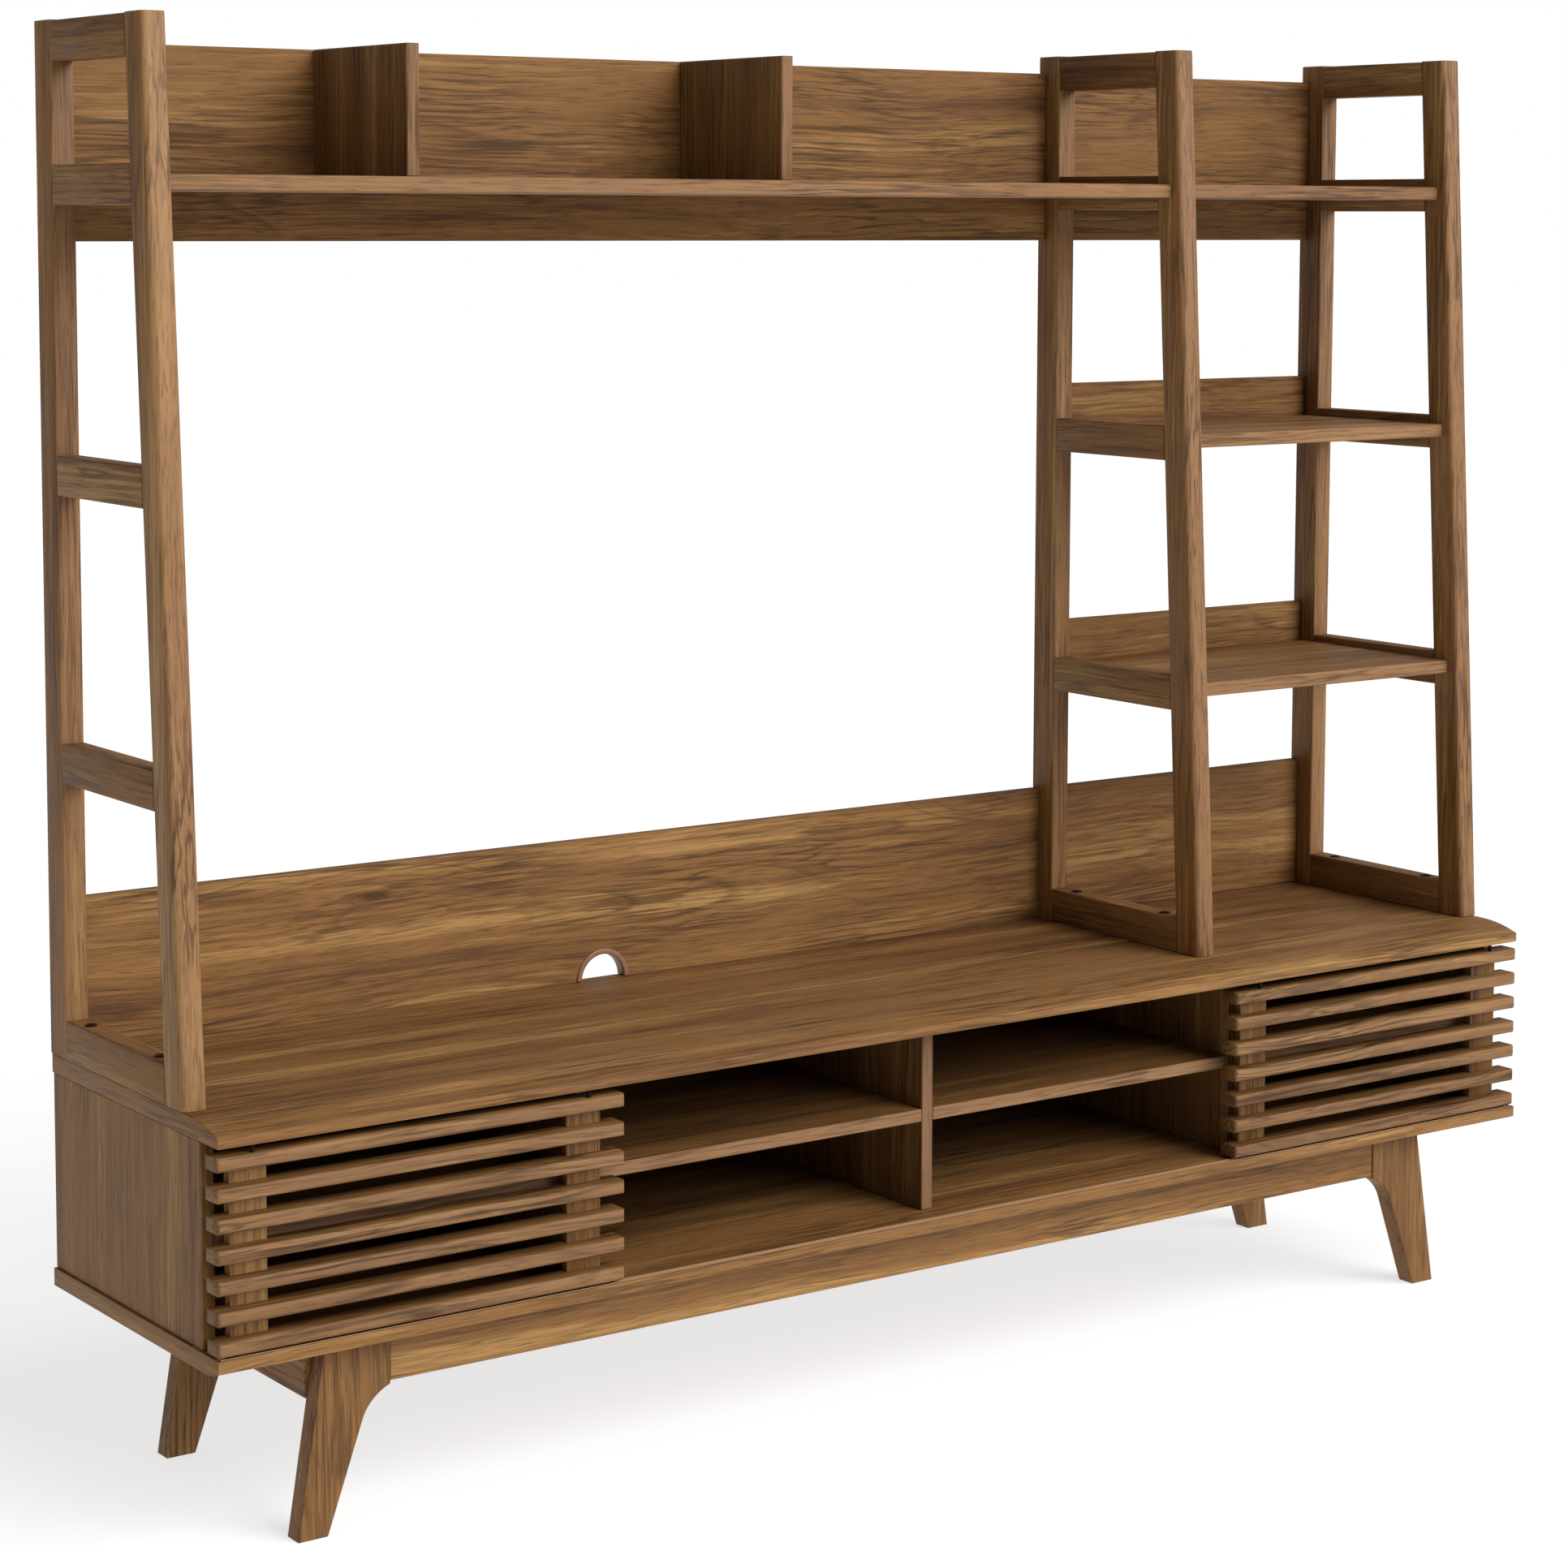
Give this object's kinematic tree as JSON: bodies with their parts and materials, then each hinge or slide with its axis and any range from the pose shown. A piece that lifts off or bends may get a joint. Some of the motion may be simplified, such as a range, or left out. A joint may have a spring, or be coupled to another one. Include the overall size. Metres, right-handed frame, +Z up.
{
  "type": "media cabinet with shelf unit",
  "caption": "Low wooden bench on splayed legs with sliding slatted doors and open bays, topped by an open shelf unit on ladder frames.",
  "frame": {"origin": "on the floor under the middle of the cabinet", "axes": "+X along the width towards the narrow shelf bay, -Y out of the front, +Z up"},
  "size_m": [1.8, 0.389, 1.526],
  "materials": {
    "case_wood": "straight and cathedral grained wood, satin clear coat",
    "shelf_wood": "grained wood with lighter edge banding, satin clear coat",
    "panel_wood": "cathedral grained wood, satin clear coat",
    "frame_wood": "solid wood with straight grain, satin clear coat",
    "slat_wood": "solid wood slats, satin clear coat",
    "back_board": "dark veneered board, matt",
    "track_metal": "extruded, satin",
    "runner_nylon": "moulded, matt",
    "grommet_plastic": "moulded, satin brown"
  },
  "bodies": {
    "cabinet": {"bottom_board": "case_wood", "top_board": "case_wood", "left_side_panel": "case_wood", "right_side_panel": "case_wood", "left_partition": "case_wood", "right_partition": "case_wood", "centre_divider": "case_wood", "front_apron": "case_wood", "rear_apron": "case_wood", "left_side_rail": "case_wood", "right_side_rail": "case_wood", "left_door_bay_shelf": "shelf_wood", "right_door_bay_shelf": "shelf_wood", "left_open_bay_shelf": "shelf_wood", "right_open_bay_shelf": "shelf_wood", "left_top_shelf": "shelf_wood", "right_top_shelf": "shelf_wood", "right_middle_shelf": "shelf_wood", "right_lower_shelf": "shelf_wood", "left_cubby_divider": "shelf_wood", "right_cubby_divider": "shelf_wood", "left_upper_back_panel": "panel_wood", "right_upper_back_panel": "panel_wood", "left_lower_back_panel": "panel_wood", "right_lower_back_panel": "panel_wood", "middle_shelf_upstand": "panel_wood", "lower_shelf_upstand": "panel_wood", "front_left_leg": "frame_wood", "front_right_leg": "frame_wood", "rear_left_leg": "frame_wood", "rear_right_leg": "frame_wood", "left_ladder_rear_post": "frame_wood", "left_ladder_front_post": "frame_wood", "left_ladder_top_rail": "frame_wood", "left_ladder_shelf_rail": "frame_wood", "left_ladder_upper_rung": "frame_wood", "left_ladder_lower_rung": "frame_wood", "left_ladder_bottom_rail": "frame_wood", "middle_ladder_rear_post": "frame_wood", "middle_ladder_front_post": "frame_wood", "middle_ladder_top_rail": "frame_wood", "middle_ladder_shelf_rail": "frame_wood", "middle_ladder_upper_rung": "frame_wood", "middle_ladder_lower_rung": "frame_wood", "middle_ladder_bottom_rail": "frame_wood", "right_ladder_rear_post": "frame_wood", "right_ladder_front_post": "frame_wood", "right_ladder_top_rail": "frame_wood", "right_ladder_shelf_rail": "frame_wood", "right_ladder_upper_rung": "frame_wood", "right_ladder_lower_rung": "frame_wood", "right_ladder_bottom_rail": "frame_wood", "lower_track": "track_metal", "upper_track": "track_metal", "case_back_panel": "back_board", "cable_grommet": "grommet_plastic"},
    "left_door": {"left_door": "slat_wood", "left_door_runner": "runner_nylon"},
    "right_door": {"right_door": "slat_wood", "right_door_runner": "runner_nylon"}
  },
  "joints": [
    {"name": "left_door_slide", "type": "slide", "parent": "cabinet", "child": "left_door", "axis": [1, 0, 0], "range_m": [0, 0.428]},
    {"name": "right_door_slide", "type": "slide", "parent": "cabinet", "child": "right_door", "axis": [-1, 0, 0], "range_m": [0, 0.428]}
  ]
}
